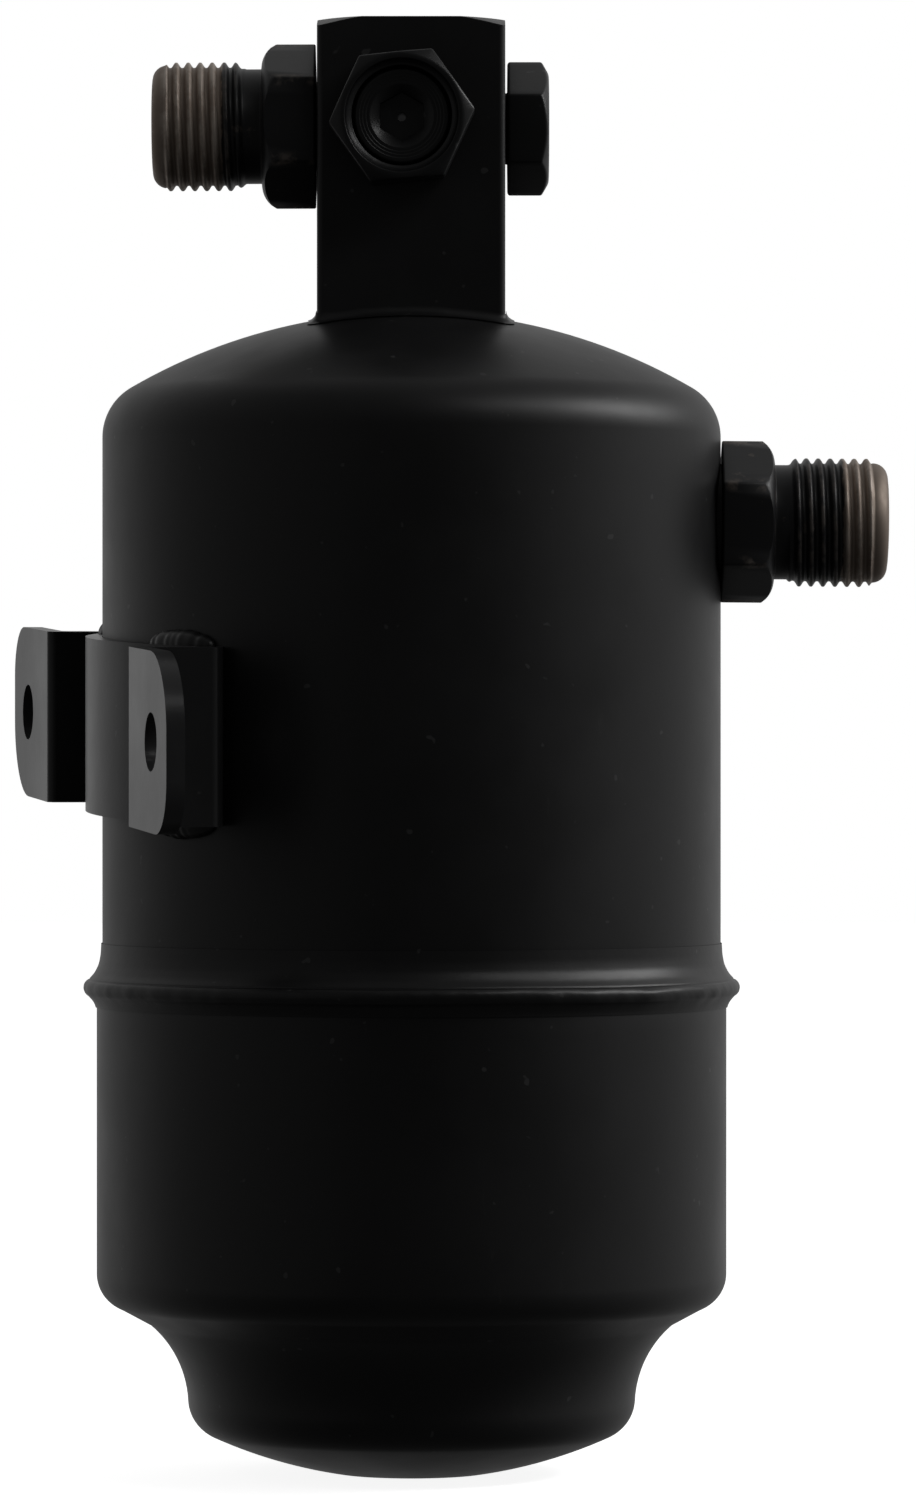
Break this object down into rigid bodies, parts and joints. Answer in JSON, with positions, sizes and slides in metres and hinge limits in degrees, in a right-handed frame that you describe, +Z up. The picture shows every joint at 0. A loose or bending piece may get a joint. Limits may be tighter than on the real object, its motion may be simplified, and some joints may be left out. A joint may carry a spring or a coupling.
{
  "type": "refrigerant reservoir",
  "caption": "Black welded steel can with a dished sump, a square head block with hex relief valve and plug, threaded inlet and outlet, and an eared side bracket.",
  "frame": {"origin": "centre of the small flat at the bottom of the dished sump, on the can's axis", "axes": "+Z up the can's axis, -X out of the outlet fitting, +X out of the inlet fitting, -Y out of the relief valve"},
  "size_m": [0.1104, 0.0966, 0.1793],
  "materials": {
    "can_paint": "satin black paint over drawn steel",
    "block_paint": "satin black paint over milled bar",
    "bracket_paint": "semi-gloss black paint over bent strip",
    "hardware_paint": "satin black paint over machined hexagons",
    "fitting_steel": "bare brown-grey steel threads, painted black at the hexagon and neck",
    "inner_steel": "plain steel",
    "strainer_brass": "woven and pressed brass",
    "braze_filler": "braze filler",
    "seal_rubber": "moulded O-ring rubber",
    "filter_felt": "pressed felt",
    "desiccant": "packed molecular sieve beads"
  },
  "bodies": {
    "reservoir": {"lower_shell": "can_paint", "upper_shell": "can_paint", "girth_weld": "can_paint", "head_block": "block_paint", "block_weld": "block_paint", "mounting_bracket": "bracket_paint", "bracket_weld_top_near": "bracket_paint", "bracket_weld_top_far": "bracket_paint", "bracket_weld_bottom_near": "bracket_paint", "bracket_weld_bottom_far": "bracket_paint", "blanking_plug": "hardware_paint", "relief_valve_body": "hardware_paint", "relief_adjuster": "hardware_paint", "outlet_fitting": "fitting_steel", "inlet_fitting": "fitting_steel", "pickup_tube": "inner_steel", "lower_retainer_plate": "inner_steel", "pack_spring": "inner_steel", "relief_spring": "inner_steel", "pickup_strainer": "strainer_brass", "inlet_braze": "braze_filler", "outlet_seal": "seal_rubber", "blanking_plug_seal": "seal_rubber", "relief_valve_seal": "seal_rubber", "lower_filter_pad": "filter_felt", "upper_filter_pad": "filter_felt", "desiccant_bed": "desiccant"},
    "retainer_plate": {"upper_retainer_plate": "inner_steel"},
    "poppet": {"relief_poppet": "inner_steel"}
  },
  "joints": [
    {"name": "retainer_plate_lift", "type": "slide", "parent": "reservoir", "child": "retainer_plate", "axis": [0, 0, 1], "range_m": [0, 0.003], "stiffness_N_per_m": 1500, "springref_m": -0.01, "deforming": ["pack_spring"]},
    {"name": "relief_poppet_lift", "type": "slide", "parent": "reservoir", "child": "poppet", "axis": [0, -1, 0], "range_m": [0, 0.0008], "stiffness_N_per_m": 1000, "springref_m": -0.004, "deforming": ["relief_spring"]}
  ]
}
